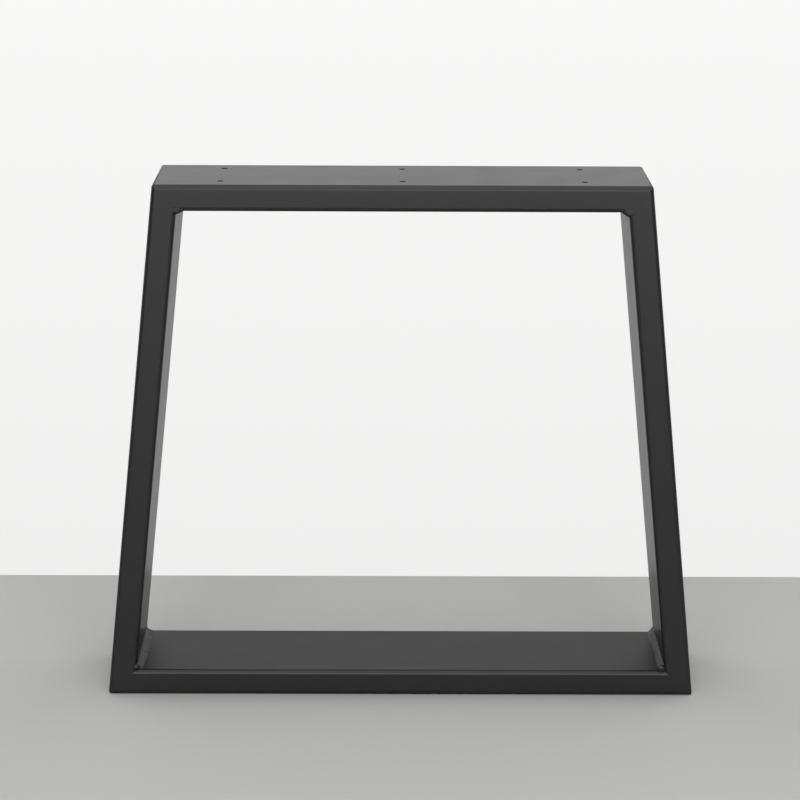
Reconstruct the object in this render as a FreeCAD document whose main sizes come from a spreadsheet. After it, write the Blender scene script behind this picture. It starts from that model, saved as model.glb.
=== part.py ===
import FreeCAD, Part
import math
import os
import Sketcher

# Low trapezoid table leg: four mitred lengths of flat rectangular hollow section, welded into a
# closed frame. Millimetres. X runs across the frame, Y through its depth with the front at -Y,
# and Z up from the floor. The origin lies on the floor, under the middle of the bottom rail.

Vector = FreeCAD.Vector
UPRIGHT = Vector(0, 0, 1)

SIZES = {
    # The frame's outline, seen from the front
    "overall_height": 400,
    "bottom_width": 454,
    "top_width": 374,
    # The hollow section
    "tube_depth": 100,
    "tube_face": 20,
    "tube_wall": 2,
    "edge_radius": 3.6,
    "least_inner_radius": 0.4,
    # Outer corner of each mitre, ground round after welding
    "corner_radius": 2.5,
    # Two rows of screw holes in the top rail: one pair near each end and one in the middle
    "screw_hole_diameter": 4.5,
    "screw_end_distance": 50,
    "screw_row_spacing": 60,
    # Wider holes in the rail's lower wall, through which the screws are driven
    "driver_hole_diameter": 10,
    # Fillet weld along each inside corner: its width on either tube, and how far its face bulges
    "weld_on_rail": 5.4,
    "weld_on_leg": 4.3,
    "weld_crown": 0.35,
    "weld_end_radius": 2.6,
}

# Sizes that follow from the driving ones
LEAN = "atan((Sizes.bottom_width - Sizes.top_width) / (2 * Sizes.overall_height))"
FOOT_ANGLE = f"(90 deg - {LEAN})"
HEAD_ANGLE = f"(90 deg + {LEAN})"
LEG_LENGTH = f"(Sizes.overall_height / cos({LEAN}))"
LEG_MIDDLE = "(Sizes.bottom_width + Sizes.top_width) / 4"
INNER_RADIUS = "max(Sizes.edge_radius - Sizes.tube_wall; Sizes.least_inner_radius)"
FLAT_DEPTH = "(Sizes.tube_depth - 2 * Sizes.edge_radius)"
FOOT_UP = "Sizes.tube_face"
HEAD_UP = "Sizes.overall_height - Sizes.tube_face"
FOOT_CORNER = f"(Sizes.bottom_width / 2 - Sizes.tube_face / tan({FOOT_ANGLE} / 2))"
HEAD_CORNER = f"(Sizes.top_width / 2 - Sizes.tube_face / tan({HEAD_ANGLE} / 2))"

doc = FreeCAD.newDocument("TrapezoidLeg")
sheet = doc.addObject("Spreadsheet::Sheet", "Sizes")
for row, (alias, size) in enumerate(SIZES.items(), start=1):
    sheet.set(f"A{row}", str(size))
    sheet.setAlias(f"A{row}", alias)
doc.recompute()


def value(expression):
    """Present value of an expression, in millimetres or degrees."""
    result = sheet.evalExpression(expression)
    return float(getattr(result, "Value", result))


def new_body(label):
    body = doc.addObject("PartDesign::Body", label)
    body.Label = label
    return body


def new_sketch(body, name, plane_role):
    """Sketch on one of the body's own origin planes."""
    plane = next(item for item in body.Origin.OriginFeatures if item.Role == plane_role)
    sketch = body.newObject("Sketcher::SketchObject", f"{body.Label}_{name}")
    sketch.AttachmentSupport = [(plane, "")]
    sketch.MapMode = "FlatFace"
    return sketch


def constrain(sketch, *definition):
    sketch.addConstraint(Sketcher.Constraint(*definition))


def dimension(sketch, name, expression, *definition):
    """Add a dimension to a sketch and tie it to the sheet."""
    index = sketch.addConstraint(Sketcher.Constraint(*definition, value(expression)))
    sketch.renameConstraint(index, name)
    sketch.setExpression(f"Constraints.{name}", expression)


def fix_point(sketch, name, geometry, vertex, across, up):
    """Tie both coordinates of a sketch point to the sheet."""
    dimension(sketch, f"{name}_across", across, "DistanceX", -1, 1, geometry, vertex)
    dimension(sketch, f"{name}_up", up, "DistanceY", -1, 1, geometry, vertex)


def add_line(sketch, start, end):
    return sketch.addGeometry(Part.LineSegment(start, end), False)


def add_arc(sketch, centre, radius, first_angle, last_angle):
    """Arc drawn anticlockwise between two angles in degrees."""
    circle = Part.Circle(centre, UPRIGHT, radius)
    arc = Part.ArcOfCircle(circle, math.radians(first_angle), math.radians(last_angle))
    return sketch.addGeometry(arc, False)


def rounded_rectangle(sketch, name, width, low, high, radius):
    """Rectangle with round corners, centred on the sketch's upright axis."""
    half = value(width) / 2
    bottom = value(low)
    top = value(high)
    r = value(radius)
    right = half - r
    lines = [
        add_line(sketch, Vector(-right, bottom), Vector(right, bottom)),
        add_line(sketch, Vector(half, bottom + r), Vector(half, top - r)),
        add_line(sketch, Vector(right, top), Vector(-right, top)),
        add_line(sketch, Vector(-half, top - r), Vector(-half, bottom + r)),
    ]
    arcs = [
        add_arc(sketch, Vector(right, bottom + r), r, -90, 0),
        add_arc(sketch, Vector(right, top - r), r, 0, 90),
        add_arc(sketch, Vector(-right, top - r), r, 90, 180),
        add_arc(sketch, Vector(-right, bottom + r), r, 180, 270),
    ]
    for turn, arc in enumerate(arcs):
        constrain(sketch, "Tangent", lines[turn], 2, arc, 1)
        constrain(sketch, "Tangent", arc, 2, lines[(turn + 1) % 4], 1)
        constrain(sketch, "Vertical" if turn % 2 else "Horizontal", lines[turn])
    for arc in arcs[1:]:
        constrain(sketch, "Equal", arcs[0], arc)
    dimension(sketch, f"{name}_radius", radius, "Radius", arcs[0])
    dimension(sketch, f"{name}_right", f"({width}) / 2", "DistanceX", -1, 1, lines[1], 1)
    dimension(sketch, f"{name}_left", f"-({width}) / 2", "DistanceX", -1, 1, lines[3], 1)
    dimension(sketch, f"{name}_low", low, "DistanceY", -1, 1, lines[0], 1)
    dimension(sketch, f"{name}_high", high, "DistanceY", -1, 1, lines[2], 1)


def symmetric_pad(body, name, sketch, length):
    pad = body.newObject("PartDesign::Pad", f"{body.Label}_{name}")
    pad.Profile = sketch
    pad.SideType = "Symmetric"
    pad.setExpression("Length", length)
    doc.recompute()


def pocket(body, sketch, depth=None, reverse=False):
    """Cut a sketch out of its body: to a depth, or both ways through all of it."""
    before = body.Shape.Volume
    cut = body.newObject("PartDesign::Pocket", f"{sketch.Name}_cut")
    cut.Profile = sketch
    cut.Reversed = reverse
    if depth is None:
        cut.SideType = "Symmetric"
        cut.Type = "ThroughAll"
    else:
        cut.setExpression("Length", depth)
    doc.recompute()
    if body.Shape.Volume >= before:
        raise RuntimeError(f"{sketch.Name} cuts nothing")


def mitre(body, name, side, length, half_angle):
    """Saw one end of a tube to its mitre, and grind its outer corner round.

    The tube lies along X with its outer face at height 0. The saw line climbs inwards from the
    end of that face, and the ground corner is the half of a round that lies on this tube.
    """
    radius = "Sizes.corner_radius"
    past_tube = "Sizes.tube_wall"
    round_across = f"{side} * ({length} / 2 - {radius} / tan({half_angle}))"
    inner_up = f"(Sizes.tube_face + {past_tube})"
    inner_across = f"{side} * ({length} / 2 - {inner_up} / tan({half_angle}))"
    end_across = f"{side} * ({length} / 2 + {past_tube})"

    r = value(radius)
    centre = Vector(value(round_across), r)
    inner = Vector(value(inner_across), value(inner_up))
    ridge = centre + (centre - inner).normalize() * r
    upper = Vector(value(end_across), inner.y)
    lower = Vector(upper.x, -value(past_tube))
    under = Vector(centre.x, lower.y)
    start = Vector(centre.x, 0)

    sketch = new_sketch(body, name, "XZ_Plane")
    saw = add_line(sketch, ridge, inner)
    over = add_line(sketch, inner, upper)
    end = add_line(sketch, upper, lower)
    below = add_line(sketch, lower, under)
    rise = add_line(sketch, under, start)
    saw_angle = value(half_angle)
    if side > 0:
        corner = add_arc(sketch, centre, r, -90, -saw_angle)
        at_face, at_saw = 1, 2
    else:
        corner = add_arc(sketch, centre, r, saw_angle - 180, -90)
        at_face, at_saw = 2, 1
    constrain(sketch, "Coincident", corner, at_saw, saw, 1)
    constrain(sketch, "Coincident", rise, 2, corner, at_face)
    for line, following in ((saw, over), (over, end), (end, below), (below, rise)):
        constrain(sketch, "Coincident", line, 2, following, 1)
    constrain(sketch, "Horizontal", over)
    constrain(sketch, "Vertical", end)
    constrain(sketch, "Horizontal", below)
    constrain(sketch, "Vertical", rise)
    constrain(sketch, "Vertical", corner, 3, corner, at_face)
    constrain(sketch, "PointOnObject", corner, 3, saw)
    dimension(sketch, "radius", radius, "Radius", corner)
    fix_point(sketch, "centre", corner, 3, round_across, radius)
    fix_point(sketch, "inner", saw, 2, inner_across, inner_up)
    fix_point(sketch, "lower", end, 2, end_across, f"-{past_tube}")
    pocket(body, sketch)


def place(item, base, axis, turn):
    """Tie an object's position and its turn about one axis to the sheet."""
    item.Placement = FreeCAD.Placement(Vector(), FreeCAD.Rotation(axis, value(turn)))
    for letter, expression in zip("xyz", base):
        item.setExpression(f"Placement.Base.{letter}", expression)
    item.setExpression("Placement.Rotation.Angle", turn)


def tube(label, length, start_angle, end_angle, base, turn):
    """One mitred length of hollow section, turned about Y into its place in the frame."""
    body = new_body(label)
    section = new_sketch(body, "section", "YZ_Plane")
    rounded_rectangle(section, "outer", "Sizes.tube_depth", "0", "Sizes.tube_face",
                      "Sizes.edge_radius")
    rounded_rectangle(section, "inner", "Sizes.tube_depth - 2 * Sizes.tube_wall",
                      "Sizes.tube_wall", "Sizes.tube_face - Sizes.tube_wall", INNER_RADIUS)
    symmetric_pad(body, "bar", section, length)
    mitre(body, "start_mitre", -1, length, f"({start_angle} / 2)")
    mitre(body, "end_mitre", 1, length, f"({end_angle} / 2)")
    place(body, base, Vector(0, 1, 0), turn)
    return body


def hole_grid(body, name, diameter, height):
    """Sketch of the top rail's two rows of three holes, at a height in the rail's own frame."""
    sketch = new_sketch(body, name, "XY_Plane")
    sketch.setExpression("AttachmentOffset.Base.z", height)
    radius = value(diameter) / 2
    circles = []
    for column in (-1, 0, 1):
        for row in (-1, 1):
            across = f"{column} * (Sizes.top_width / 2 - Sizes.screw_end_distance)"
            along = f"{row} * Sizes.screw_row_spacing / 2"
            centre = Vector(value(across), value(along))
            circle = sketch.addGeometry(Part.Circle(centre, UPRIGHT, radius), False)
            fix_point(sketch, f"hole_{circle}", circle, 3, across, along)
            circles.append(circle)
    dimension(sketch, "diameter", diameter, "Diameter", circles[0])
    for circle in circles[1:]:
        constrain(sketch, "Equal", circles[0], circle)
    return sketch


def drill_top_rail(rail):
    """Screw holes in the wall under the table top, and driver holes in the wall below it."""
    screws = hole_grid(rail, "screw_holes", "Sizes.screw_hole_diameter", "0")
    pocket(rail, screws, "Sizes.tube_wall", reverse=True)
    drivers = hole_grid(rail, "driver_holes", "Sizes.driver_hole_diameter", "Sizes.tube_face")
    pocket(rail, drivers, "Sizes.tube_wall")


def weld_bead(label, angle):
    """Fillet weld with a slightly convex face and a rounded end in each edge of the frame.

    In its own frame the corner runs along Y through the origin, the rail's face is the XY plane
    and the leg's face rises from it at the corner's angle.
    """
    rail_toe_across = "Sizes.weld_on_rail"
    leg_toe_across = f"Sizes.weld_on_leg * cos({angle})"
    leg_toe_up = f"Sizes.weld_on_leg * sin({angle})"
    crown = "Sizes.weld_crown"
    chord = f"sqrt(({rail_toe_across} - {leg_toe_across}) ^ 2 + ({leg_toe_up}) ^ 2)"
    face_radius = f"(({chord} / 2) ^ 2 + {crown} ^ 2) / (2 * {crown})"

    rail_toe = Vector(value(rail_toe_across), 0)
    leg_toe = Vector(value(leg_toe_across), value(leg_toe_up))
    along = (leg_toe - rail_toe).normalize()
    outward = Vector(along.y, -along.x)
    r = value(face_radius)
    centre = (rail_toe + leg_toe) / 2 - outward * (r - value(crown))
    middle_angle = math.degrees(math.atan2(outward.y, outward.x))
    half_sweep = math.degrees(math.asin(value(chord) / 2 / r))

    bead = new_body(label)
    section = new_sketch(bead, "section", "XZ_Plane")
    on_rail = add_line(section, Vector(), rail_toe)
    on_leg = add_line(section, leg_toe, Vector())
    face = add_arc(section, centre, r, middle_angle - half_sweep, middle_angle + half_sweep)
    constrain(section, "Coincident", on_rail, 1, -1, 1)
    constrain(section, "Coincident", on_rail, 2, face, 1)
    constrain(section, "Coincident", face, 2, on_leg, 1)
    constrain(section, "Coincident", on_leg, 2, on_rail, 1)
    dimension(section, "face_radius", face_radius, "Radius", face)
    fix_point(section, "rail_toe", on_rail, 2, rail_toe_across, "0")
    fix_point(section, "leg_toe", on_leg, 1, leg_toe_across, leg_toe_up)
    symmetric_pad(bead, "run", section, FLAT_DEPTH)

    # Each end is a ball, sunk half a wall into both tubes until the overlap is cut away
    rise = "(Sizes.weld_end_radius - Sizes.tube_wall / 2)"
    for side, name in ((-1, "front_end"), (1, "back_end")):
        ball = bead.newObject("PartDesign::AdditiveSphere", f"{label}_{name}")
        ball.setExpression("Radius", "Sizes.weld_end_radius")
        ball.setExpression("Placement.Base.x", f"{rise} / tan({angle} / 2)")
        ball.setExpression("Placement.Base.y", f"{side} * {FLAT_DEPTH} / 2")
        ball.setExpression("Placement.Base.z", rise)
    doc.recompute()
    return bead


def weld(label, angle, rail, leg, corner, axis, turn):
    """Weld bead turned into its corner and seated on the rail and the leg."""
    bead = weld_bead(f"{label}_bead", angle)
    place(bead, corner, axis, turn)
    on_rail = doc.addObject("Part::Cut", f"{label}_on_rail")
    on_rail.Base = bead
    on_rail.Tool = rail
    seated = doc.addObject("Part::Cut", label)
    seated.Label = label
    seated.Base = on_rail
    seated.Tool = leg
    return seated


bottom_rail = tube("bottom_rail", "Sizes.bottom_width", FOOT_ANGLE, FOOT_ANGLE,
                   ("0", "0", "0"), "0 deg")
top_rail = tube("top_rail", "Sizes.top_width", HEAD_ANGLE, HEAD_ANGLE,
                ("0", "0", "Sizes.overall_height"), "180 deg")
left_leg = tube("left_leg", LEG_LENGTH, HEAD_ANGLE, FOOT_ANGLE,
                (f"-{LEG_MIDDLE}", "0", "Sizes.overall_height / 2"), HEAD_ANGLE)
right_leg = tube("right_leg", LEG_LENGTH, FOOT_ANGLE, HEAD_ANGLE,
                 (LEG_MIDDLE, "0", "Sizes.overall_height / 2"), f"-{HEAD_ANGLE}")
drill_top_rail(top_rail)

welds = [
    weld("weld_bottom_left", FOOT_ANGLE, bottom_rail, left_leg,
         (f"-{FOOT_CORNER}", "0", FOOT_UP), UPRIGHT, "0 deg"),
    weld("weld_bottom_right", FOOT_ANGLE, bottom_rail, right_leg,
         (FOOT_CORNER, "0", FOOT_UP), UPRIGHT, "180 deg"),
    weld("weld_top_left", HEAD_ANGLE, top_rail, left_leg,
         (f"-{HEAD_CORNER}", "0", HEAD_UP), Vector(1, 0, 0), "180 deg"),
    weld("weld_top_right", HEAD_ANGLE, top_rail, right_leg,
         (HEAD_CORNER, "0", HEAD_UP), Vector(0, 1, 0), "180 deg"),
]
doc.recompute()

nodes = [bottom_rail, top_rail, left_leg, right_leg, *welds]
for item in doc.Objects:
    if "Invalid" in item.State or "Error" in item.State:
        raise RuntimeError(f"{item.Label} failed: {item.State}")
for node in nodes:
    shape = node.Shape
    if shape.isNull() or not shape.isValid() or len(shape.Solids) != 1:
        raise RuntimeError(f"{node.Label} is not one valid solid")

os.makedirs("parts", exist_ok=True)
for node in nodes:
    node.Shape.exportStep(f"parts/{node.Label}.step")
    box = node.Shape.BoundBox
    print(f"{node.Label}: {node.Shape.Volume:.1f} mm3, x {box.XMin:.2f} to {box.XMax:.2f}, "
          f"y {box.YMin:.2f} to {box.YMax:.2f}, z {box.ZMin:.2f} to {box.ZMax:.2f}")
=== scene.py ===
import math
import random

import bmesh
import bpy
from bpy.props import FloatProperty, FloatVectorProperty, PointerProperty
from mathutils import Matrix, Vector


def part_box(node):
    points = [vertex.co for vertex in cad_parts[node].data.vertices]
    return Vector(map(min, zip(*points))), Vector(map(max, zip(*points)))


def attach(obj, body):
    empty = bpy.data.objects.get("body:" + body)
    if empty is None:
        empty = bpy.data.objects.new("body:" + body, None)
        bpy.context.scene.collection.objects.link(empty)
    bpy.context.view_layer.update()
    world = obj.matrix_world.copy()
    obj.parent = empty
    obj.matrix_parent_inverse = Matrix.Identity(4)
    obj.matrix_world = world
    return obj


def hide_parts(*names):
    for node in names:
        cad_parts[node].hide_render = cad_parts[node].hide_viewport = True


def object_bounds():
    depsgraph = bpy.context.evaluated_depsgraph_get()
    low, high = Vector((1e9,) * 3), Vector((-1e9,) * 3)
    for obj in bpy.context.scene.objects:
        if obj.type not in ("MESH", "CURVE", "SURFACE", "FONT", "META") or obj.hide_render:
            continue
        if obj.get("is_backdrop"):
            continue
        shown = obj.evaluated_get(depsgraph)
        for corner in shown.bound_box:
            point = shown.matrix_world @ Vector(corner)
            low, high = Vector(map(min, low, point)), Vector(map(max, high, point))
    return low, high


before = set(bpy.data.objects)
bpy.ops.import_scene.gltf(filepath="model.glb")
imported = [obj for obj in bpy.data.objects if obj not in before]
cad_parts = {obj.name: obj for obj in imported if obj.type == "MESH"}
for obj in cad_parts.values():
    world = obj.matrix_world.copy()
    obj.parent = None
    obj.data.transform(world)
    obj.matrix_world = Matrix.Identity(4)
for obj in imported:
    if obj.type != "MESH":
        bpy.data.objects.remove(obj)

bl_info = {
    "name": "Trestle Table Leg",
    "version": (1, 0, 0),
    "blender": (4, 5, 0),
    "location": "View3D > Sidebar > Table Leg",
    "description": "Models a welded trapezoid table leg of flat hollow section and its studio",
    "category": "Add Mesh",
}

CAD_LOW, CAD_HIGH = (corner.copy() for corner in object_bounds())
PART_BODY = "root"
MM = 0.001

# How close two directions have to be, as the cosine between them
SAME_WAY = 0.99
FACES_THERE = 0.9

# Sawing and grinding of the tubes
EDGE_STEPS = 10
CORNER_FLATS = 6
GRINDING_ALLOWANCE = 0.01 * MM
MERGE_DISTANCE = 0.002 * MM
SMOOTH_ANGLE = math.radians(32.0)
FLAT_WEIGHT = 100

# Drilling: the cutter's shoulder stays off the face, so that the two never share a plane
HOLE_SIDES = 40
RIM_STEPS = 4
RIM_RADIUS = 0.35 * MM
DRILL_SETBACK = 0.02 * MM

# Clouds in the coat's colour, marks of handling in its gloss, and grain and peel in its skin
CLOUD_SCALE, CLOUD_DETAIL = 11.0, 3.0
CLOUD_DARK, CLOUD_PALE = 0.88, 1.14
HANDLING_SCALE, HANDLING_DETAIL, HANDLING_SHARE = 38.0, 4.0, 0.012
NOISE_RANGE = (0.3, 0.7)
GRAIN_DETAIL, PEEL_DETAIL = 2.0, 1.0
PEEL_SCALE, PEEL_SHARE = 0.25, 1.5

# Where the coat's gloss changes, from 0 for a face seen square on to 1 for one seen edge on
SLANTING_RANGE = (0.45, 0.65)
SKIMMING_RANGE = (0.70, 0.84)
EDGE_ON_RANGE = (0.86, 0.92)

# Shape of every weld bead, with lengths in millimetres
BEAD_ROOT = 0.5
ROOT_REACH = 1.3
FACE_PERCENT, FACE_STEPS = 94.0, 12
STATION_LENGTH, STATION_REACH = 1.0, 0.2
KNOT_LENGTH = 5.0
RAIL_WAVE, LEG_WAVE = 0.07, 0.05
RIPPLE_PITCH = 2.3
PITCH_RANGE = (0.75, 1.25)
RIPPLE_LEAST, RIPPLE_SHARE = 0.02, 0.12
END_LENGTH, END_SHARE = 1.0, 0.75
CROWN_LEAD = 0.9
DROP_SEGMENTS, DROP_RINGS = 28, 20
CRATER_REACH = 1.0
FLOW_VOXEL = 0.24
FEWEST_FACES = 50
SETTLE_FACTOR, SETTLE_ROUNDS = 0.5, 3

# Studio, in metres, and the camera's pitch down, yaw and roll in degrees
FLOOR_SIZE, FLOOR_ROUGHNESS = 16.0, 0.85
WALL_SIZE, WALL_ROUGHNESS = 8.0, 0.9
WALL_BOUNCE = 0.9
# Height over which the wall's painted light grows from dim at the floor to bright above
PAINTED_WALL_LIGHT_HEIGHT = 0.5
FRONT_SOFTBOX = {"place": (0.0, -3.6, 1.0), "target": (0.0, 0.0, 0.2), "wide": 4.0, "tall": 1.6}
OVERHEAD_SOFTBOX = {
    "place": (0.0, -1.3, 2.4), "target": (0.0, -1.3, 0.0), "wide": 1.3, "tall": 3.0}
CAMERA_PLACE = (-0.0117657, -2.1050303, 0.7380609)
CAMERA_TURNS = (13.724718, 0.290538, 0.247719)
CAMERA_LENS, CAMERA_SENSOR, CAMERA_REACH = 125.672, 36.0, 100.0


class TableLegSizes(bpy.types.PropertyGroup):
    """Sizes of the welded frame"""

    height: FloatProperty(
        name="Height", description="From the floor to the face under the table top",
        subtype="DISTANCE", unit="LENGTH", default=CAD_HIGH.z - CAD_LOW.z)
    bottom_width: FloatProperty(
        name="Bottom width", description="Between the sharp outer corners on the floor",
        subtype="DISTANCE", unit="LENGTH", default=0.454)
    top_width: FloatProperty(
        name="Top width", description="Between the sharp outer corners under the table top",
        subtype="DISTANCE", unit="LENGTH", default=0.374)
    tube_depth: FloatProperty(
        name="Tube depth", description="Broad side of the flat hollow section",
        subtype="DISTANCE", unit="LENGTH", default=CAD_HIGH.y - CAD_LOW.y)
    tube_face: FloatProperty(
        name="Tube face", description="Narrow side of the flat hollow section",
        subtype="DISTANCE", unit="LENGTH", default=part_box("bottom_rail")[1].z)
    tube_wall: FloatProperty(
        name="Tube wall", description="Wall thickness of the hollow section",
        subtype="DISTANCE", unit="LENGTH", default=0.002)
    edge_radius: FloatProperty(
        name="Edge radius", description="Rounding of the long edges of the hollow section",
        subtype="DISTANCE", unit="LENGTH", default=0.0036)
    corner_radius: FloatProperty(
        name="Ground corner radius", description="Rounding ground on the outer mitre corners",
        subtype="DISTANCE", unit="LENGTH", default=0.0025)
    screw_hole: FloatProperty(
        name="Screw hole", description="Diameter of the holes under the table top",
        subtype="DISTANCE", unit="LENGTH", default=0.0045)
    driver_hole: FloatProperty(
        name="Driver hole",
        description="Diameter of the holes that let the screwdriver in from below",
        subtype="DISTANCE", unit="LENGTH", default=0.010)
    screw_end_distance: FloatProperty(
        name="Screw end distance", description="From the end of the top rail to the outer screws",
        subtype="DISTANCE", unit="LENGTH", default=0.050)
    screw_row_spacing: FloatProperty(
        name="Screw row spacing", description="Between the two rows of screws",
        subtype="DISTANCE", unit="LENGTH", default=0.060)


class TableLegFinish(bpy.types.PropertyGroup):
    """Colour and gloss of the powder coat"""

    coat_colour: FloatVectorProperty(
        name="Coat colour", description="Colour of the black powder coat",
        subtype="COLOR", size=4, min=0.0, max=1.0, default=(0.006, 0.006, 0.006, 1.0))
    coat_roughness: FloatProperty(
        name="Coat roughness", description="Roughness of the satin coat seen square on",
        subtype="FACTOR", min=0.0, max=1.0, default=0.32)
    slanting_roughness: FloatProperty(
        name="Slanting roughness", description="Roughness where the coat is seen at a slant",
        subtype="FACTOR", min=0.0, max=1.0, default=0.44)
    skimming_roughness: FloatProperty(
        name="Skimming roughness", description="Roughness where the coat is seen at a flat angle",
        subtype="FACTOR", min=0.0, max=1.0, default=0.29)
    edge_on_roughness: FloatProperty(
        name="Edge-on roughness", description="Roughness where the coat is seen almost edge on",
        subtype="FACTOR", min=0.0, max=1.0, default=0.365)
    coat_index: FloatProperty(
        name="Coat index",
        description="Index of refraction of the coat's skin, which sets how fast its reflection "
        "grows towards a flat angle",
        min=1.0, max=2.0, default=1.2)
    coat_reflection: FloatProperty(
        name="Coat reflection",
        description="How many times more the coat reflects square on than its index gives",
        min=0.0, max=10.0, default=5.0)
    grain_depth: FloatProperty(
        name="Grain depth", description="Depth of the fine grain of the baked powder",
        subtype="DISTANCE", unit="LENGTH", min=0.0, default=0.0002)


class TableLegStage(bpy.types.PropertyGroup):
    """Colours and light of the studio"""

    floor_colour: FloatVectorProperty(
        name="Floor colour", description="Colour of the plain floor",
        subtype="COLOR", size=4, min=0.0, max=1.0, default=(0.65, 0.65, 0.645, 1.0))
    wall_colour: FloatVectorProperty(
        name="Wall colour", description="Colour of the plain wall behind the table leg",
        subtype="COLOR", size=4, min=0.0, max=1.0, default=(1.0, 1.0, 0.995, 1.0))
    # Painted light on the wall: its glow for the camera and for reflections runs from dimmer at the
    # floor to brighter above the leg
    wall_low: FloatProperty(
        name="Wall near the floor", description="How bright the wall is at the floor",
        subtype="FACTOR", min=0.0, max=1.0, default=0.86)
    wall_high: FloatProperty(
        name="Wall above", description="How bright the wall is above the table leg",
        subtype="FACTOR", min=0.0, max=1.0, default=0.94)
    wall_distance: FloatProperty(
        name="Wall distance", description="From the middle of the leg to the wall behind it",
        subtype="DISTANCE", unit="LENGTH", min=0.1, default=0.26)
    room_light: FloatProperty(
        name="Room light", description="Strength of the even light of the room",
        min=0.0, default=0.3)
    front_power: FloatProperty(
        name="Front softbox", description="Power of the wide softbox in front",
        subtype="POWER", min=0.0, default=58.0)
    overhead_power: FloatProperty(
        name="Overhead softbox", description="Power of the softbox above",
        subtype="POWER", min=0.0, default=19.5)


def take_in_hand(piece):
    """Selects this piece alone."""
    bpy.ops.object.select_all(action="DESELECT")
    piece.select_set(True)
    bpy.context.view_layer.objects.active = piece


def edit(piece):
    """Opens the piece in edit mode."""
    take_in_hand(piece)
    bpy.ops.object.mode_set(mode="EDIT")


def done():
    """Leaves edit mode."""
    bpy.ops.object.mode_set(mode="OBJECT")


def mark(piece, kind, test):
    """Selects, in edit mode, the verts, edges or faces that pass the test."""
    bpy.ops.mesh.select_mode(type={"verts": "VERT", "edges": "EDGE", "faces": "FACE"}[kind])
    bpy.ops.mesh.select_all(action="DESELECT")
    shape = bmesh.from_edit_mesh(piece.data)
    found = [item for item in getattr(shape, kind) if test(item)]
    if not found:
        raise RuntimeError(f"{piece.name}: no {kind} found to work on")
    for item in found:
        item.select_set(True)
    shape.select_flush_mode()
    bmesh.update_edit_mesh(piece.data)


def name_piece(name):
    """Names the primitive that was just added, with its place in its mesh."""
    piece = bpy.context.object
    piece.name = name
    piece.data.name = name
    bpy.ops.object.transform_apply(location=True, rotation=True, scale=True)
    return piece


def work_in(piece, name, kind, **settings):
    """Adds a modifier with these settings to the piece in hand and applies it."""
    modifier = piece.modifiers.new(name, kind)
    for setting, value in settings.items():
        setattr(modifier, setting, value)
    bpy.ops.object.modifier_apply(modifier=modifier.name)


def along(edge, way):
    """Whether an edge runs along this way."""
    return abs((edge.verts[0].co - edge.verts[1].co).normalized().dot(way)) > SAME_WAY


class FrameLines:
    """Corner points and ways of the trapezoid, from its sizes."""

    def __init__(self, sizes):
        half_low, half_high = sizes.bottom_width / 2, sizes.top_width / 2
        slope = (half_low - half_high) / sizes.height
        self.lean = math.atan(slope)
        self.leg_way = Vector((math.sin(self.lean), 0.0, math.cos(self.lean)))
        self.leg_outward = Vector((-math.cos(self.lean), 0.0, math.sin(self.lean)))
        inset = sizes.tube_face / math.cos(self.lean)
        self.outer = {"bottom": Vector((-half_low, 0.0, 0.0)),
                      "top": Vector((-half_high, 0.0, sizes.height))}
        self.inner = {
            "bottom": Vector((-half_low + slope * sizes.tube_face + inset, 0.0, sizes.tube_face)),
            "top": Vector((-half_high - slope * sizes.tube_face + inset, 0.0,
                           sizes.height - sizes.tube_face))}

    def outer_corner(self, level, side):
        return mirrored(self.outer[level], side)

    def inner_corner(self, level, side):
        return mirrored(self.inner[level], side)


def mirrored(place, side):
    """A point or way of the left half, on the side that is -1 for left or 1 for right."""
    return Vector((-side * place.x, place.y, place.z))


def saw_tube(name, sizes, middle, length, lean):
    """A length of hollow section: a block with open ends, rounded long edges and a wall."""
    way = Vector((math.sin(lean), 0.0, math.cos(lean)))
    bpy.ops.object.select_all(action="DESELECT")
    bpy.ops.mesh.primitive_cube_add(
        size=1.0, location=middle, rotation=(0.0, lean, 0.0),
        scale=(sizes.tube_face, sizes.tube_depth, length))
    piece = name_piece(name)
    edit(piece)
    mark(piece, "faces", lambda face: abs(face.normal.dot(way)) > FACES_THERE)
    bpy.ops.mesh.delete(type="FACE")
    mark(piece, "edges", lambda edge: along(edge, way))
    bpy.ops.mesh.bevel(offset_type="OFFSET", offset=sizes.edge_radius, segments=EDGE_STEPS,
                       profile=0.5, affect="EDGES")
    done()
    work_in(piece, "wall", "SOLIDIFY", thickness=sizes.tube_wall, offset=-1.0, use_even_offset=True)
    return piece


def cut_mitre(piece, outer, inner, outward):
    """Saws the tube off along the mitre and closes its wall there."""
    line = (inner - outer).normalized()
    normal = Vector((line.z, 0.0, -line.x))
    if normal.dot(outward) < 0.0:
        normal = -normal
    edit(piece)
    bpy.ops.mesh.select_all(action="SELECT")
    bpy.ops.mesh.bisect(plane_co=outer, plane_no=normal, clear_outer=True, use_fill=False)
    mark(piece, "edges", lambda edge: len(edge.link_faces) == 1)
    bpy.ops.mesh.bridge_edge_loops()
    done()


def grind_corner(piece, tip, own_face, other_face, radius):
    """Grinds this tube's half of the outer corner round, with flats that follow the arc."""
    turn = own_face.angle(other_face) / 2
    bisector = (own_face + other_face).normalized()
    centre = tip - bisector * (radius / math.cos(turn))
    reach = radius * math.cos(turn / CORNER_FLATS / 2) - GRINDING_ALLOWANCE
    edit(piece)
    for flat in range(CORNER_FLATS):
        facing = own_face.slerp(bisector, (flat + 0.5) / CORNER_FLATS)
        bpy.ops.mesh.select_all(action="SELECT")
        bpy.ops.mesh.bisect(plane_co=centre + facing * reach, plane_no=facing,
                            clear_outer=True, use_fill=True)
    bpy.ops.mesh.select_all(action="SELECT")
    bpy.ops.mesh.remove_doubles(threshold=MERGE_DISTANCE)
    done()


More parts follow.
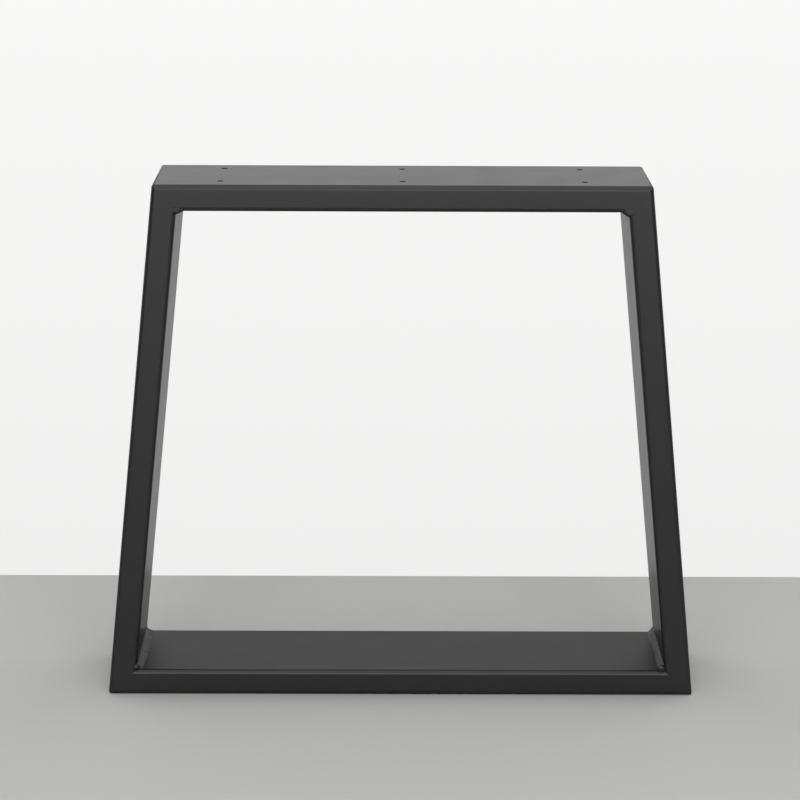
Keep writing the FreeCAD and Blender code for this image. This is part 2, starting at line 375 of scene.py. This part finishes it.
def smooth_skin(piece):
    """Rounded edges shade smoothly, and flats stay flat."""
    take_in_hand(piece)
    bpy.ops.object.shade_smooth_by_angle(angle=SMOOTH_ANGLE)
    work_in(piece, "flats", "WEIGHTED_NORMAL", keep_sharp=True, weight=FLAT_WEIGHT)


def hand_over(piece, node, material):
    """The finished piece stands for its CAD node, moves with the part and takes its finish."""
    piece.data.materials.clear()
    piece.data.materials.append(material)
    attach(piece, PART_BODY)
    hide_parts(node)


def new_material(name):
    """A material with nodes, and its shader, ready for its pattern."""
    material = bpy.data.materials.new(name)
    material.use_nodes = True
    return material, material.node_tree.nodes["Principled BSDF"]


def unevenness(tree, place, scale, detail):
    """A noise laid on the piece's own coordinates."""
    noise = tree.nodes.new("ShaderNodeTexNoise")
    noise.inputs["Scale"].default_value = scale
    noise.inputs["Detail"].default_value = detail
    tree.links.new(place, noise.inputs["Vector"])
    return noise.outputs["Fac"]


def spread(tree, value, start, end, low, high):
    """A value's range laid out between two others."""
    ramp = tree.nodes.new("ShaderNodeMapRange")
    limits = {"From Min": start, "From Max": end, "To Min": low, "To Max": high}
    for name, number in limits.items():
        ramp.inputs[name].default_value = number
    tree.links.new(value, ramp.inputs["Value"])
    return ramp.outputs["Result"]


def added(tree, first, second, share):
    """The first value plus a share of the second."""
    total = tree.nodes.new("ShaderNodeMath")
    total.operation = "MULTIPLY_ADD"
    tree.links.new(second, total.inputs[0])
    total.inputs[1].default_value = share
    tree.links.new(first, total.inputs[2])
    return total.outputs["Value"]


def coated_steel(name, finish, paler, rougher, relief, grain_scale):
    """Satin black powder coat, cloudy in colour and gloss, with the fine grain of baked powder."""
    if name in bpy.data.materials:
        return bpy.data.materials[name]
    material, shader = new_material(name)
    tree = material.node_tree
    place = tree.nodes.new("ShaderNodeTexCoord").outputs["Object"]

    cloud = unevenness(tree, place, CLOUD_SCALE, CLOUD_DETAIL)
    tint = tree.nodes.new("ShaderNodeMix")
    tint.data_type = "RGBA"
    shade = [value * paler for value in finish.coat_colour[:3]]
    tint.inputs["A"].default_value = [value * CLOUD_DARK for value in shade] + [1.0]
    tint.inputs["B"].default_value = [value * CLOUD_PALE for value in shade] + [1.0]
    tree.links.new(spread(tree, cloud, *NOISE_RANGE, 0.0, 1.0), tint.inputs["Factor"])
    tree.links.new(tint.outputs["Result"], shader.inputs["Base Color"])

    angle = tree.nodes.new("ShaderNodeLayerWeight")
    angle.inputs["Blend"].default_value = 0.5
    facing = angle.outputs["Facing"]
    slanting = spread(tree, facing, *SLANTING_RANGE, finish.coat_roughness + rougher,
                      finish.slanting_roughness + rougher)
    skimming = spread(tree, facing, *SKIMMING_RANGE, 0.0,
                      finish.slanting_roughness - finish.skimming_roughness)
    edge_on = spread(tree, facing, *EDGE_ON_RANGE, 0.0,
                     finish.edge_on_roughness - finish.skimming_roughness)
    gloss = added(tree, added(tree, slanting, skimming, -1.0), edge_on, 1.0)
    marks = unevenness(tree, place, HANDLING_SCALE, HANDLING_DETAIL)
    handling = spread(tree, marks, *NOISE_RANGE, -1.0, 1.0)
    tree.links.new(added(tree, gloss, handling, HANDLING_SHARE), shader.inputs["Roughness"])
    shader.inputs["IOR"].default_value = finish.coat_index
    shader.inputs["Specular Tint"].default_value = [finish.coat_reflection] * 3 + [1.0]

    grain = unevenness(tree, place, grain_scale, GRAIN_DETAIL)
    peel = unevenness(tree, place, grain_scale * PEEL_SCALE, PEEL_DETAIL)
    bump = tree.nodes.new("ShaderNodeBump")
    bump.inputs["Strength"].default_value = relief
    bump.inputs["Distance"].default_value = finish.grain_depth
    tree.links.new(added(tree, grain, peel, PEEL_SHARE), bump.inputs["Height"])
    tree.links.new(bump.outputs["Normal"], shader.inputs["Normal"])
    return material


def powder_coat(finish):
    """The coat on the drawn tube."""
    return coated_steel("satin_black_powder_coat", finish, paler=1.0, rougher=0.0, relief=0.06,
                        grain_scale=1300.0)


def coat_on_weld(finish):
    """The coat on the weld beads, where the scale under it shows."""
    return coated_steel("powder_coat_on_weld", finish, paler=1.2, rougher=0.03, relief=0.25,
                        grain_scale=800.0)


def rail(name, sizes, level):
    """A rail across the frame, mitred and ground at both ends."""
    lines = FrameLines(sizes)
    low = level == "bottom"
    facing = Vector((0.0, 0.0, -1.0 if low else 1.0))
    middle = Vector((0.0, 0.0, sizes.tube_face / 2 if low else sizes.height - sizes.tube_face / 2))
    length = (sizes.bottom_width if low else sizes.top_width) + 2 * sizes.tube_face
    piece = saw_tube(name, sizes, middle, length, math.pi / 2)
    for side in (-1, 1):
        outward = Vector((side, 0.0, 0.0))
        tip = lines.outer_corner(level, side)
        cut_mitre(piece, tip, lines.inner_corner(level, side), outward)
        grind_corner(piece, tip, facing, mirrored(lines.leg_outward, side), sizes.corner_radius)
    return piece


class TABLELEG_OT_bottom_rail(bpy.types.Operator):
    """Model the rail that stands on the floor"""

    bl_idname = "tableleg.bottom_rail"
    bl_label = "Bottom rail"

    def execute(self, context):
        piece = rail("rail_on_floor", context.scene.table_leg_sizes, "bottom")
        smooth_skin(piece)
        hand_over(piece, "bottom_rail", powder_coat(context.scene.table_leg_finish))
        return {"FINISHED"}


def hole_cutter(name, diameter, rim, deep, place, up):
    """A drill for one wall, with a rounded shoulder that softens the rim of the hole."""
    place = place - Vector((0.0, 0.0, up * DRILL_SETBACK))
    bpy.ops.object.select_all(action="DESELECT")
    bpy.ops.mesh.primitive_cylinder_add(
        vertices=HOLE_SIDES, radius=diameter / 2, depth=deep,
        rotation=(0.0, 0.0, math.pi / HOLE_SIDES),
        location=place - Vector((0.0, 0.0, up * (rim + deep / 2))))
    piece = name_piece(name)
    edit(piece)
    mark(piece, "faces", lambda face: face.normal.z * up > FACES_THERE)
    wide = diameter / 2
    for step in range(1, RIM_STEPS + 1):
        angle = math.pi / 2 * step / RIM_STEPS
        rise = rim * (math.sin(angle) - math.sin(angle - math.pi / 2 / RIM_STEPS))
        wider = diameter / 2 + rim * (1.0 - math.cos(angle))
        bpy.ops.mesh.extrude_region_move(TRANSFORM_OT_translate={"value": (0.0, 0.0, up * rise)})
        growth = wider / wide
        bpy.ops.transform.resize(value=(growth, growth, 1.0), center_override=place)
        wide = wider
    bpy.ops.mesh.extrude_region_move(TRANSFORM_OT_translate={"value": (0.0, 0.0, up * rim)})
    done()
    return piece


def drill_holes(piece, cutter, places):
    """Drills one wall at each place, with copies of the same cutter."""
    first = places[0]
    copies = [cutter]
    for place in places[1:]:
        take_in_hand(cutter)
        bpy.ops.object.duplicate()
        copy = bpy.context.object
        copy.location = place - first
        copies.append(copy)
    for copy in copies:
        copy.select_set(True)
    bpy.context.view_layer.objects.active = cutter
    bpy.ops.object.join()
    take_in_hand(piece)
    work_in(piece, "holes", "BOOLEAN", operation="DIFFERENCE", solver="EXACT", object=cutter)
    bpy.data.objects.remove(cutter)


class TABLELEG_OT_top_rail(bpy.types.Operator):
    """Model the rail under the table top, with its screw and driver holes"""

    bl_idname = "tableleg.top_rail"
    bl_label = "Top rail"

    def execute(self, context):
        sizes = context.scene.table_leg_sizes
        piece = rail("rail_under_top", sizes, "top")
        reach = sizes.top_width / 2 - sizes.screw_end_distance
        row = sizes.screw_row_spacing / 2
        grid = [Vector((x, y, 0.0)) for x in (-reach, 0.0, reach) for y in (-row, row)]
        for name, diameter, height, up in (
                ("screw_drill", sizes.screw_hole, sizes.height, 1.0),
                ("driver_drill", sizes.driver_hole, sizes.height - sizes.tube_face, -1.0)):
            places = [spot + Vector((0.0, 0.0, height)) for spot in grid]
            cutter = hole_cutter(name, diameter, RIM_RADIUS, 2 * sizes.tube_wall, places[0], up)
            drill_holes(piece, cutter, places)
        smooth_skin(piece)
        hand_over(piece, "top_rail", powder_coat(context.scene.table_leg_finish))
        return {"FINISHED"}


class TABLELEG_OT_legs(bpy.types.Operator):
    """Model the left leg and copy it to the right"""

    bl_idname = "tableleg.legs"
    bl_label = "Legs"

    def execute(self, context):
        sizes = context.scene.table_leg_sizes
        lines = FrameLines(sizes)
        foot, head = lines.outer["bottom"], lines.outer["top"]
        middle = (foot + head) / 2 - lines.leg_outward * sizes.tube_face / 2
        length = (head - foot).length + 2 * sizes.tube_face
        left = saw_tube("leg_left", sizes, middle, length, lines.lean)
        for level, outward in (("bottom", -lines.leg_way), ("top", lines.leg_way)):
            facing = Vector((0.0, 0.0, -1.0 if level == "bottom" else 1.0))
            cut_mitre(left, lines.outer[level], lines.inner[level], outward)
            grind_corner(left, lines.outer[level], lines.leg_outward, facing, sizes.corner_radius)
        take_in_hand(left)
        bpy.ops.object.duplicate()
        right = name_piece("leg_right")
        edit(right)
        bpy.ops.mesh.select_all(action="SELECT")
        bpy.ops.transform.resize(value=(-1.0, 1.0, 1.0), center_override=(0.0, 0.0, 0.0))
        bpy.ops.mesh.normals_make_consistent(inside=False)
        done()
        coat = powder_coat(context.scene.table_leg_finish)
        for piece, node in ((left, "left_leg"), (right, "right_leg")):
            smooth_skin(piece)
            hand_over(piece, node, coat)
        return {"FINISHED"}


# Each bead, with lengths in millimetres: the corner it lies in, the profile of its face, whether
# its front end was dressed flush, its widths from the back to the front as (place, on the rail, on
# the leg), and the drops of metal on it as (place, out along the rail, out along the leg, half
# sizes). A drop with a crater also has (depth, out, rise) of the dent in its front.
BEADS = {
    "bead_low_left": {
        "node": "weld_bottom_left", "level": "bottom", "side": -1, "seed": 3, "face": 0.13,
        "flush": False,
        "widths": ((49.3, 6.8, 3.8), (24.5, 7.4, 4.2), (-10.0, 7.2, 4.2), (-33.5, 6.2, 4.2),
                   (-44.0, 5.7, 3.8), (-46.2, 4.6, 2.0), (-48.4, 3.6, 1.6)),
        "drops": ((-47.98, -0.4, 1.9, (3.2, 2.0, 2.5)),)},
    "bead_low_right": {
        "node": "weld_bottom_right", "level": "bottom", "side": 1, "seed": 8, "face": 0.27,
        "flush": False,
        "widths": ((49.2, 4.4, 4.6), (28.0, 5.7, 4.8), (-6.6, 4.2, 5.0), (-32.5, 4.7, 4.7),
                   (-44.0, 5.0, 4.5), (-48.4, 4.6, 4.1)),
        "drops": ((-45.4, 2.3, 1.0, (3.2, 4.2, 2.7)),
                  (-48.2, 2.5, 1.5, (3.5, 1.7, 3.1), (0.8, 0.4, -0.9)),
                  (-49.2, -2.1, 1.3, (0.9, 0.8, 0.5)))},
    "bead_high_left": {
        "node": "weld_top_left", "level": "top", "side": -1, "seed": 5, "face": 0.20,
        "flush": True,
        "widths": ((49.2, 5.0, 3.8), (20.0, 5.6, 3.4), (-15.0, 5.6, 3.2), (-49.95, 6.5, 3.0)),
        "drops": ((-49.0, 3.2, -1.6, (0.9, 0.8, 0.7)), (-48.4, 5.0, -0.6, (0.8, 0.8, 0.7)),
                  (48.0, 1.0, 1.0, (2.4, 1.8, 2.2)))},
    "bead_high_right": {
        "node": "weld_top_right", "level": "top", "side": 1, "seed": 6, "face": 0.24,
        "flush": True,
        "widths": ((49.2, 5.4, 4.4), (15.0, 5.0, 4.0), (-20.0, 5.4, 4.3), (-49.95, 5.9, 4.4)),
        "drops": ((-49.35, 1.0, -0.7, (1.7, 0.62, 1.2)), (47.8, 1.2, 0.9, (2.5, 2.0, 2.2)))},
}


def between(stations, place):
    """Widths at a place along the bead, eased between those that are given."""
    for near, far in zip(stations, stations[1:]):
        if near[0] >= place >= far[0]:
            share = (near[0] - place) / (near[0] - far[0])
            share = share * share * (3.0 - 2.0 * share)
            return [a + (b - a) * share for a, b in zip(near[1:], far[1:])]
    return list(stations[0][1:] if place > stations[0][0] else stations[-1][1:])


def sweep_crumbs(piece, fewest):
    """Deletes loose crumbs of fewer faces than this."""
    edit(piece)
    shape = bmesh.from_edit_mesh(piece.data)
    shape.faces.index_update()
    left, crumbs = set(shape.faces), set()
    while left:
        ahead, island = [left.pop()], []
        while ahead:
            face = ahead.pop()
            island.append(face.index)
            near = {other for edge in face.edges for other in edge.link_faces} & left
            left -= near
            ahead.extend(near)
        if len(island) < fewest:
            crumbs.update(island)
    if crumbs:
        mark(piece, "faces", lambda face: face.index in crumbs)
        bpy.ops.mesh.delete(type="VERT")
    done()


class BeadPlace:
    """Where a bead lies: its corner, the ways out of it, and its reach on the rail and the leg."""

    def __init__(self, bead, lines):
        self.corner = lines.inner_corner(bead["level"], bead["side"])
        self.up = 1.0 if bead["level"] == "bottom" else -1.0
        self.inward = -bead["side"]
        self.back, self.front = bead["widths"][0][0], bead["widths"][-1][0]
        self.long = self.back - self.front
        self.rail_side = max(width[1] for width in bead["widths"])
        self.leg_side = max(width[2] for width in bead["widths"])

    def out(self, vert):
        """How far a vertex lies out of the corner along the rail."""
        return (vert.co.x - self.corner.x) * self.inward

    def rise(self, vert):
        """How far a vertex lies out of the corner along the leg."""
        return (vert.co.z - self.corner.z) * self.up

    def point(self, out, along_y, rise):
        """A point given in millimetres from the corner."""
        return self.corner + Vector((self.inward * out, along_y, self.up * rise)) * MM


def bead_blank(name, bead, spot, lines):
    """A block that leans with the leg, with a root in the seam and the face of a fillet."""
    wide, tall = spot.rail_side + BEAD_ROOT, spot.leg_side + BEAD_ROOT
    halfway = (spot.back + spot.front) / 2
    bpy.ops.object.select_all(action="DESELECT")
    bpy.ops.mesh.primitive_cube_add(
        size=1.0,
        location=spot.point(wide / 2 - BEAD_ROOT, halfway, tall / 2 - BEAD_ROOT),
        scale=(wide * MM, spot.long * MM, tall * MM))
    piece = name_piece(name)
    edit(piece)
    mark(piece, "verts", lambda vert: spot.rise(vert) > 0.0)
    shift = math.tan(lines.lean) * tall * MM * spot.inward * spot.up
    bpy.ops.transform.translate(value=(shift, 0.0, 0.0))
    mark(piece, "verts", lambda vert: spot.rise(vert) < 0.0 and spot.out(vert) < 0.0)
    bpy.ops.transform.translate(
        value=(-spot.inward * ROOT_REACH * MM, 0.0, -spot.up * ROOT_REACH * MM))
    mark(piece, "edges", lambda edge: all(
        spot.out(vert) > wide / 2 * MM and spot.rise(vert) > 0.0 for vert in edge.verts))
    bpy.ops.mesh.bevel(offset_type="PERCENT", offset_pct=FACE_PERCENT, segments=FACE_STEPS,
                       profile=bead["face"], affect="EDGES")
    done()
    return piece


def mark_crown(piece, spot):
    """Weighs the middle of the face against its toes, and names the group."""
    crown = piece.vertex_groups.new(name="crown")
    for vert in piece.data.vertices:
        out, rise = max(0.0, spot.out(vert)), max(0.0, spot.rise(vert))
        crown.add([vert.index], max(0.0, math.sin(2.0 * math.atan2(rise, out))), "REPLACE")
    return crown.name


def end_share(place, ends):
    """How much of its width the bead keeps near its rounded ends."""
    share = 1.0
    for end in ends:
        near = abs(place - end) / END_LENGTH
        if near < 1.0:
            roundness = math.sqrt(max(0.0, 1.0 - (1.0 - near) ** 2))
            share = min(share, END_SHARE + (1.0 - END_SHARE) * roundness)
    return share


def shape_stations(piece, bead, spot, sizes):
    """Gives the bead its widths and ripples, and sinks it over the tube's rounded edges."""
    rng = random.Random(bead["seed"])
    half_depth, rounding = sizes.tube_depth / 2 / MM, sizes.edge_radius / MM
    halves = int(spot.long / STATION_LENGTH)
    edit(piece)
    for cuts in (halves - 1, 1):
        mark(piece, "edges", lambda edge: along(edge, Vector((0.0, 1.0, 0.0))))
        bpy.ops.mesh.subdivide(number_cuts=cuts)
    steps = 2 * halves
    knots = [(spot.back - KNOT_LENGTH * knot, rng.uniform(-RAIL_WAVE, RAIL_WAVE),
              rng.uniform(-LEG_WAVE, LEG_WAVE))
             for knot in range(int(spot.long / KNOT_LENGTH) + 2)]
    ends = (spot.back,) if bead["flush"] else (spot.back, spot.front)
    phase = 0.0
    for station in range(steps + 1):
        place = spot.back - spot.long * station / steps
        on_rail, on_leg = between(bead["widths"], place)
        wave_rail, wave_leg = between(knots, place)
        phase += 2.0 * math.pi * (spot.long / steps) / RIPPLE_PITCH * rng.uniform(*PITCH_RANGE)
        ripple = (RIPPLE_LEAST + RIPPLE_SHARE * wave_rail) * math.sin(phase)
        share = end_share(place, ends)
        grow_rail = on_rail / spot.rail_side * (1.0 + ripple + wave_rail) * share
        grow_leg = on_leg / spot.leg_side * (1.0 + ripple + wave_leg) * share
        over = max(0.0, abs(place) - (half_depth - rounding))
        sink = (rounding - math.sqrt(rounding * rounding - over * over)) * MM
        mark(piece, "verts", lambda vert: abs(vert.co.y - place * MM) < STATION_REACH * MM)
        bpy.ops.transform.resize(value=(grow_rail, 1.0, grow_leg), center_override=spot.corner)
        bpy.ops.transform.translate(value=(-spot.inward * sink, 0.0, -spot.up * sink))
    done()


def add_drops(piece, drops, spot):
    """Drops of metal where the arc was started and stopped."""
    edit(piece)
    bpy.ops.mesh.select_all(action="DESELECT")
    for place, out, rise, half, *craters in drops:
        middle = spot.point(out, place, rise)
        bpy.ops.mesh.primitive_uv_sphere_add(
            segments=DROP_SEGMENTS, ring_count=DROP_RINGS, radius=MM, location=middle,
            rotation=(math.pi / 2, 0.0, 0.0))
        bpy.ops.transform.resize(value=half, center_override=middle)
        for depth, across, higher in craters:
            tip = middle + Vector((spot.inward * across, -half[1], spot.up * higher)) * MM
            mark(piece, "verts", lambda vert: (vert.co - tip).length < CRATER_REACH * MM)
            bpy.ops.transform.translate(value=(0.0, depth * MM, 0.0))
        bpy.ops.mesh.select_all(action="DESELECT")
    done()


def lay_bead(name, bead, lines, sizes):
    """A fillet weld in an inside corner, with ripples, uneven toes and drops of metal."""
    spot = BeadPlace(bead, lines)
    piece = bead_blank(name, bead, spot, lines)
    crown = mark_crown(piece, spot)
    shape_stations(piece, bead, spot, sizes)
    # the middle of the face runs ahead of its toes, so its ripples are crescents
    work_in(piece, "lead", "DISPLACE", direction="Y", vertex_group=crown, mid_level=0.0,
            strength=-CROWN_LEAD * MM)
    if bead["flush"]:
        edit(piece)
        bpy.ops.mesh.select_all(action="SELECT")
        bpy.ops.mesh.bisect(plane_co=(0.0, spot.front * MM, 0.0), plane_no=(0.0, -1.0, 0.0),
                            clear_outer=True, use_fill=True)
        done()
    add_drops(piece, bead["drops"], spot)
    work_in(piece, "flow", "REMESH", mode="VOXEL", voxel_size=FLOW_VOXEL * MM)
    sweep_crumbs(piece, FEWEST_FACES)
    work_in(piece, "settle", "SMOOTH", factor=SETTLE_FACTOR, iterations=SETTLE_ROUNDS)
    bpy.ops.object.shade_smooth()
    return piece


class TABLELEG_OT_welds(bpy.types.Operator):
    """Lay the four weld beads in the inside corners"""

    bl_idname = "tableleg.welds"
    bl_label = "Weld beads"

    def execute(self, context):
        sizes = context.scene.table_leg_sizes
        lines = FrameLines(sizes)
        coat = coat_on_weld(context.scene.table_leg_finish)
        for name, bead in BEADS.items():
            piece = lay_bead(name, bead, lines, sizes)
            hand_over(piece, bead["node"], coat)
        return {"FINISHED"}


def lay_floor(stage):
    """The plain floor."""
    bpy.ops.object.select_all(action="DESELECT")
    bpy.ops.mesh.primitive_plane_add(size=FLOOR_SIZE, location=(0.0, 0.0, 0.0))
    floor = name_piece("floor")
    material, shader = new_material("plain_floor")
    shader.inputs["Base Color"].default_value = stage.floor_colour
    shader.inputs["Roughness"].default_value = FLOOR_ROUGHNESS
    floor.data.materials.append(material)
    floor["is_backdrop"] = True


def put_up_wall(stage):
    """The white wall, which glows for the camera and for reflections with painted light dimmer at
    the floor and brighter above, and is clear from behind so that the back of the leg can be seen.
    """
    bpy.ops.object.select_all(action="DESELECT")
    bpy.ops.mesh.primitive_plane_add(
        size=WALL_SIZE, location=(0.0, stage.wall_distance, WALL_SIZE / 2),
        rotation=(math.pi / 2, 0.0, 0.0))
    wall = name_piece("wall")
    material, shader = new_material("plain_wall")
    tree = material.node_tree
    bounce = [value * WALL_BOUNCE for value in stage.wall_colour[:3]]
    shader.inputs["Base Color"].default_value = bounce + [1.0]
    shader.inputs["Roughness"].default_value = WALL_ROUGHNESS
    # Painted light: the wall glows for camera, glossy and transmission rays, dimmer at the floor
    # and brighter above, and other rays see a diffuse wall
    height = tree.nodes.new("ShaderNodeSeparateXYZ")
    tree.links.new(tree.nodes.new("ShaderNodeTexCoord").outputs["Object"], height.inputs["Vector"])
    glow = tree.nodes.new("ShaderNodeEmission")
    glow.inputs["Color"].default_value = stage.wall_colour
    painted_wall_light = spread(tree, height.outputs["Z"], 0.0, PAINTED_WALL_LIGHT_HEIGHT, stage.wall_low, stage.wall_high)
    tree.links.new(painted_wall_light, glow.inputs["Strength"])
    ray = tree.nodes.new("ShaderNodeLightPath")
    seen = ray.outputs["Is Camera Ray"]
    for other in ("Is Glossy Ray", "Is Transmission Ray"):
        either = tree.nodes.new("ShaderNodeMath")
        either.operation = "MAXIMUM"
        tree.links.new(seen, either.inputs[0])
        tree.links.new(ray.outputs[other], either.inputs[1])
        seen = either.outputs["Value"]
    white = tree.nodes.new("ShaderNodeMixShader")
    tree.links.new(seen, white.inputs["Fac"])
    tree.links.new(shader.outputs["BSDF"], white.inputs[1])
    tree.links.new(glow.outputs["Emission"], white.inputs[2])
    behind = tree.nodes.new("ShaderNodeNewGeometry").outputs["Backfacing"]
    clear = tree.nodes.new("ShaderNodeBsdfTransparent").outputs["BSDF"]
    one_sided = tree.nodes.new("ShaderNodeMixShader")
    tree.links.new(behind, one_sided.inputs["Fac"])
    tree.links.new(white.outputs["Shader"], one_sided.inputs[1])
    tree.links.new(clear, one_sided.inputs[2])
    tree.links.new(one_sided.outputs["Shader"], tree.nodes["Material Output"].inputs["Surface"])
    wall.data.materials.append(material)
    wall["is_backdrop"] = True


def hang_softbox(name, place, target, wide, tall, power):
    """A broad lamp turned to its target."""
    bpy.ops.object.light_add(type="AREA", location=place)
    lamp = bpy.context.object
    lamp.name = name
    lamp.data.shape = "RECTANGLE"
    lamp.data.size = wide
    lamp.data.size_y = tall
    lamp.data.energy = power
    lamp.rotation_euler = (Vector(target) - Vector(place)).to_track_quat("-Z", "Y").to_euler()


def light_room(scene, strength):
    """Even light from all round."""
    scene.world = bpy.data.worlds.new("studio")
    scene.world.use_nodes = True
    sky = scene.world.node_tree.nodes["Background"]
    sky.inputs["Color"].default_value = (1.0, 1.0, 1.0, 1.0)
    sky.inputs["Strength"].default_value = strength


def set_camera(scene):
    """The camera, a little above the leg and almost square to it."""
    camera = bpy.data.objects.new("camera", bpy.data.cameras.new("camera"))
    scene.collection.objects.link(camera)
    camera.data.sensor_width = CAMERA_SENSOR
    camera.data.lens = CAMERA_LENS
    camera.data.clip_end = CAMERA_REACH
    pitch, yaw, roll = (math.radians(angle) for angle in CAMERA_TURNS)
    ahead = Vector((math.sin(yaw) * math.cos(pitch), math.cos(yaw) * math.cos(pitch),
                    -math.sin(pitch)))
    right = Vector((math.cos(yaw), -math.sin(yaw), 0.0))
    up = right.cross(ahead)
    across = right * math.cos(roll) + up * math.sin(roll)
    upward = up * math.cos(roll) - right * math.sin(roll)
    camera.matrix_world = Matrix.LocRotScale(
        Vector(CAMERA_PLACE), Matrix((across, upward, -ahead)).transposed(), None)
    scene.camera = camera


class TABLELEG_OT_stage(bpy.types.Operator):
    """Set up the floor, the wall, the light and the camera"""

    bl_idname = "tableleg.stage"
    bl_label = "Stage"

    def execute(self, context):
        stage = context.scene.table_leg_stage
        lay_floor(stage)
        put_up_wall(stage)
        hang_softbox("front_softbox", power=stage.front_power, **FRONT_SOFTBOX)
        hang_softbox("overhead_softbox", power=stage.overhead_power, **OVERHEAD_SOFTBOX)
        light_room(context.scene, stage.room_light)
        set_camera(context.scene)
        context.scene.view_settings.view_transform = "Standard"
        return {"FINISHED"}


class TABLELEG_PT_sidebar(bpy.types.Panel):
    """Steps and sizes of the table leg"""

    bl_idname = "TABLELEG_PT_sidebar"
    bl_label = "Table Leg"
    bl_space_type = "VIEW_3D"
    bl_region_type = "UI"
    bl_category = "Table Leg"

    def draw(self, context):
        scene = context.scene
        for group in (scene.table_leg_sizes, scene.table_leg_finish, scene.table_leg_stage):
            box = self.layout.box()
            for name in group.__annotations__:
                box.prop(group, name)
        for step in STEPS:
            self.layout.operator(step.bl_idname)


STEPS = (TABLELEG_OT_bottom_rail, TABLELEG_OT_top_rail, TABLELEG_OT_legs, TABLELEG_OT_welds,
         TABLELEG_OT_stage)
CLASSES = (TableLegSizes, TableLegFinish, TableLegStage) + STEPS + (TABLELEG_PT_sidebar,)


def register():
    for part in CLASSES:
        bpy.utils.register_class(part)
    bpy.types.Scene.table_leg_sizes = PointerProperty(type=TableLegSizes)
    bpy.types.Scene.table_leg_finish = PointerProperty(type=TableLegFinish)
    bpy.types.Scene.table_leg_stage = PointerProperty(type=TableLegStage)


def unregister():
    del bpy.types.Scene.table_leg_stage
    del bpy.types.Scene.table_leg_finish
    del bpy.types.Scene.table_leg_sizes
    for part in reversed(CLASSES):
        bpy.utils.unregister_class(part)


def main():
    register()
    bpy.ops.tableleg.bottom_rail()
    bpy.ops.tableleg.top_rail()
    bpy.ops.tableleg.legs()
    bpy.ops.tableleg.welds()
    bpy.ops.tableleg.stage()


if __name__ == "__main__":
    main()
